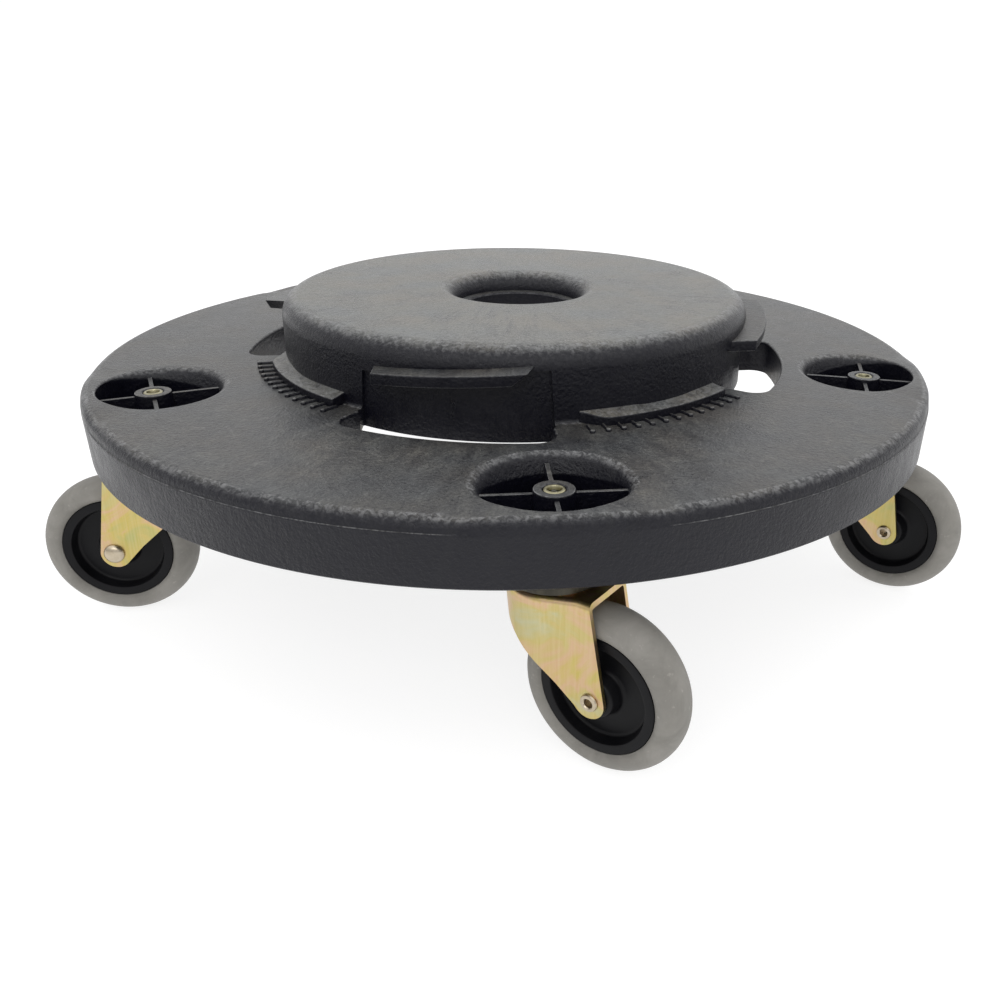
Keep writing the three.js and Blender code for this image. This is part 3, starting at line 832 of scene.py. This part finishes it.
def horseshoe(crown_r, half, end):
    """The fork's plan outline, filled: a round crown running into two straight legs."""
    opening = math.atan2(half, LEG_STRAIGHT) + math.acos(crown_r / math.hypot(half, LEG_STRAIGHT))
    opening = math.degrees(opening)
    crown = arc(0, 0, crown_r, opening, 360 - opening, 60)
    return [(end, half), (LEG_STRAIGHT, half)] + crown + [(LEG_STRAIGHT, -half), (end, -half)]


def domed_prism(crown_r, half_width, end, low, high, bend):
    """The filled horseshoe as a solid whose crown widens upwards and whose top edge is rounded by bend."""
    foot = horseshoe(crown_r - CROWN_DRAFT, half_width, end)
    levels = [(foot, low), (foot, high - bend - CROWN_DRAFT_DEPTH)]
    for t in range(0, 91, 15):
        rise = math.radians(t)
        shrink = bend * (1 - math.cos(rise))
        outline = horseshoe(crown_r - shrink, half_width - shrink, end)
        levels.append((outline, high - bend + bend * math.sin(rise)))
    return lofted(levels)


def fork_side():
    """The fork seen from the side, (reach along the trail, height)."""
    front, above = -CROWN_R - 2, FORK_TOP + 2
    lip = FORK_KNEE[1] + FORK_LIP_SLOPE * (FORK_KNEE[0] - front)
    outline = [(FORK_REAR, above), (front, above), (front, lip), FORK_KNEE, FORK_WAIST]
    rounding = {outline.index(FORK_KNEE): FORK_KNEE_R, outline.index(FORK_WAIST): FORK_WAIST_R}
    return round_corners(outline + arc(*LEG_TIP, LEG_TIP_R, *LEG_TIP_SPAN, 24), rounding, 8)


def make_fork(number, place, look):
    outer = domed_prism(CROWN_R, FORK_HALF_WIDTH, LEG_END, 0, FORK_TOP, FORK_BEND)
    inner = domed_prism(CROWN_R - FORK_SHEET, FORK_HALF_WIDTH - FORK_SHEET, LEG_END + 5, -5,
                        FORK_TOP - FORK_PLATE, 1.2)
    side = prism(fork_side(), -40, 40)
    bmesh.ops.rotate(side, verts=side.verts, matrix=Matrix.Rotation(math.pi / 2, 3, "X"))
    king = rod(KING_BORE_R, 70, 90, 48)
    axle = moved(rod(AXLE_BORE_R, -30, 30, 40, "Y"), x=TRAIL, z=WHEEL_R)
    fork = carved(f"fork_sheet_{number}", outer, [
        ("INTERSECT", side),
        ("DIFFERENCE", inner),
        ("DIFFERENCE", merged(king, axle)),
    ])
    finished(fork, place, f"swivel_{number}", look)
    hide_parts(f"fork_{number}")


def make_tyre(number, place, look):
    half = [(WHEEL_R, 0.0), (38.0, 1.6), (37.7, 3.3), (37.15, 5.0), (36.3, 6.7), (35.1, 8.2), (33.7, 9.4),
            (32.2, 10.2), (30.8, 10.5), (29.6, 10.35), (28.6, 9.8), (27.9, 9.05), (27.6, 8.7)]
    profile = [(r, -y) for r, y in reversed(half)] + half[1:]
    tyre = raw_object(f"tread_{number}", turned(profile, 128, "Y", closed=True))
    finished(tyre, place, f"wheel_{number}", look, 40)
    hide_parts(f"tyre_{number}")


def make_core(number, place, look):
    rim = [(27.45, 8.6), (27.2, 8.95), (26.6, 9.1), (23.6, 9.1), (23.0, 8.9), (22.7, 8.3)]
    web = [(21.9, 4.6), (21.2, 3.8), (20.2, 3.6), (12.0, 3.8), (10.6, 4.3), (9.9, 5.4)]
    hub = [(9.2, 10.0), (8.7, 10.9), (8.0, 11.3), (5.3, 11.3), (4.9, 10.9)]
    half = rim + web + hub
    profile = half + [(r, -y) for r, y in reversed(half)]
    core = raw_object(f"core_{number}", turned(profile, 112, "Y", closed=True))
    finished(core, place, f"wheel_{number}", look, 38)
    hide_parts(f"wheel_core_{number}")


def make_rivet(number, place, look):
    seat = RIVET_SEAT
    hollow = [(0, -11.5), (1.9, -11.5), (2.0, -seat - 0.9)]
    flare = [(2.4, -seat - 1.35), (3.1, -seat - 1.4), (3.7, -seat - 1.1), (4.0, -seat - 0.5), (3.95, -seat)]
    shank = [(3.15, -seat), (3.15, seat)]
    head = [(5.05, seat), (5.15, seat + 0.4), (4.95, seat + 1.0), (4.3, seat + 1.75), (3.2, seat + 2.35),
            (1.7, seat + 2.7), (0, seat + 2.8)]
    rivet = raw_object(f"rivet_{number}", turned(hollow + flare + shank + head, 64, "Y"))
    finished(rivet, place, f"swivel_{number}", look)
    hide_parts(f"axle_rivet_{number}")


def make_stem(number, place, look):
    top = BOSS_TOP - 0.1
    button = [(0, 77.2), (6.8, 77.2), (7.6, 77.6), (8.0, 78.4), (8.0, 80.1)]
    pin = [(STEM_R, 80.1), (STEM_R, top - 1.0), (STEM_R - 0.25, top - 0.35), (STEM_R - 0.8, top)]
    dimple = [(3.3, top), (2.9, top - 0.5), (2.5, top - 2.4), (0, top - 2.6)]
    stem = raw_object(f"stem_pin_{number}", turned(button + pin + dimple, 64))
    finished(stem, place, "dolly", look)
    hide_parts(f"stem_{number}")


def make_cup(number, place, look):
    inside = [(5.05, 90.8), (17.4, 90.8), (18.3, 90.0), (18.6, 84.6)]
    outside = [(20.9, 84.4), (21.0, 84.8), (21.0, 90.6), (20.3, 92.4), (18.6, 93.2), (5.05, 93.2)]
    cup = raw_object(f"race_cup_{number}", turned(inside + outside, 72, closed=True))
    finished(cup, place, "dolly", look)
    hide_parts(f"bearing_cup_{number}")


def make_casters(looks):
    for number in range(1, 6):
        swivel = JOINTS[f"swivel_{number}_turn"]["pos_m"]
        wheel = JOINTS[f"wheel_{number}_roll"]["pos_m"]
        trail = math.degrees(math.atan2(wheel[1] - swivel[1], wheel[0] - swivel[0]))
        stand = Matrix.Translation((swivel[0], swivel[1], 0)) @ turn_z(trail)
        axle = Matrix.Translation(wheel) @ turn_z(trail)
        make_fork(number, stand, looks["gold"])
        make_stem(number, stand, looks["olive"])
        # The race cup takes the near-black zinc that stands for painted shade under the deck.
        make_cup(number, stand, looks["painted_shade"])
        make_tyre(number, axle, looks["tyre"])
        make_core(number, axle, looks["core"])
        make_rivet(number, axle, looks["steel"])
        for node in (f"ball_ring_{number}", f"axle_sleeve_{number}"):
            for material_slot in frame["nodes"][node].material_slots:
                material_slot.material = looks["steel"]


# ---------------------------------------------------------------- stage

def make_camera():
    data = bpy.data.cameras.new("camera")
    data.sensor_width = SENSOR_WIDTH
    data.lens = CAMERA_LENS
    data.shift_x, data.shift_y = CAMERA_SHIFT
    camera = bpy.data.objects.new("camera", data)
    bpy.context.scene.collection.objects.link(camera)
    bpy.context.scene.camera = camera
    heading = Matrix.Rotation(CAMERA_YAW, 4, "Z")
    dip = Matrix.Rotation(math.pi / 2 - CAMERA_PITCH, 4, "X")
    tilt = Matrix.Rotation(CAMERA_ROLL, 4, "Z")
    offset = Vector(CAMERA_OFFSET_MM) * MM
    camera.matrix_world = Matrix.Translation(DISC_AXIS + offset) @ (heading @ dip @ tilt)


def area_light(name, place, aim, size, power):
    data = bpy.data.lights.new(name, "AREA")
    data.shape = "RECTANGLE"
    data.size, data.size_y = size
    data.energy = power
    light = bpy.data.objects.new(name, data)
    light.location = place
    light.rotation_mode = "QUATERNION"
    light.rotation_quaternion = (Vector(aim) - Vector(place)).to_track_quat("-Z", "Y")
    bpy.context.scene.collection.objects.link(light)


def make_floor():
    bm = bmesh.new()
    bmesh.ops.create_grid(bm, x_segments=2, y_segments=2, size=FLOOR_HALF)
    floor = raw_object("floor", moved(bm, z=-FLOOR_GAP))
    n = Nodes("floor_paper")
    paper = n.mask(n.noise(3.0), (0.0, 0.31), (1.0, 0.33))
    n.put(n.shader.inputs["Base Color"], paper)
    n.shader.inputs["Emission Color"].default_value = (1, 1, 1, 1)
    n.shader.inputs["Emission Strength"].default_value = FLOOR_GLOW
    n.shader.inputs["Roughness"].default_value = 0.9
    n.shader.inputs["Specular IOR Level"].default_value = 0.0
    floor.data.materials.append(n.material)


def make_sky():
    """White surroundings, brighter overhead and a little brighter behind the dolly."""
    world = bpy.data.worlds.new("studio")
    bpy.context.scene.world = world
    world.use_nodes = True
    tree = world.node_tree
    background = tree.nodes["Background"]
    background.inputs["Color"].default_value = (1, 1, 1, 1)
    direction = tree.nodes.new("ShaderNodeTexCoord").outputs["Generated"]
    split = tree.nodes.new("ShaderNodeSeparateXYZ")
    tree.links.new(direction, split.inputs[0])
    total = tree.nodes.new("ShaderNodeMath")
    for i, (axis, low, high, weak, strong) in enumerate(SKY_WASHES):
        wash = tree.nodes.new("ShaderNodeMapRange")
        wash.interpolation_type = "SMOOTHSTEP"
        for socket, value in (("From Min", low), ("From Max", high), ("To Min", weak), ("To Max", strong)):
            wash.inputs[socket].default_value = value
        tree.links.new(split.outputs[axis], wash.inputs["Value"])
        tree.links.new(wash.outputs["Result"], total.inputs[i])
    tree.links.new(total.outputs[0], background.inputs["Strength"])


make_camera()
make_floor()
make_sky()
area_light("softbox", (0.4, -2.3, 1.9), (0, 0, 0.1), (2.0, 1.0), 10)
bpy.context.scene.view_settings.view_transform = "Standard"
plastic = deck_plastic()
make_deck(plastic)
# A lighter coat of the deck plastic, partly wear and partly painted highlight, for the ledges and tooth
# pips.
make_deck_details(plastic, deck_plastic("worn_and_highlit_plastic", 0.7, 0.9))
make_casters({
    "gold": gold_zinc(),
    "olive": olive_zinc(),
    "painted_shade": painted_shade_zinc(),
    "steel": plain_steel(),
    "tyre": tyre_rubber(),
    "core": core_plastic(),
})
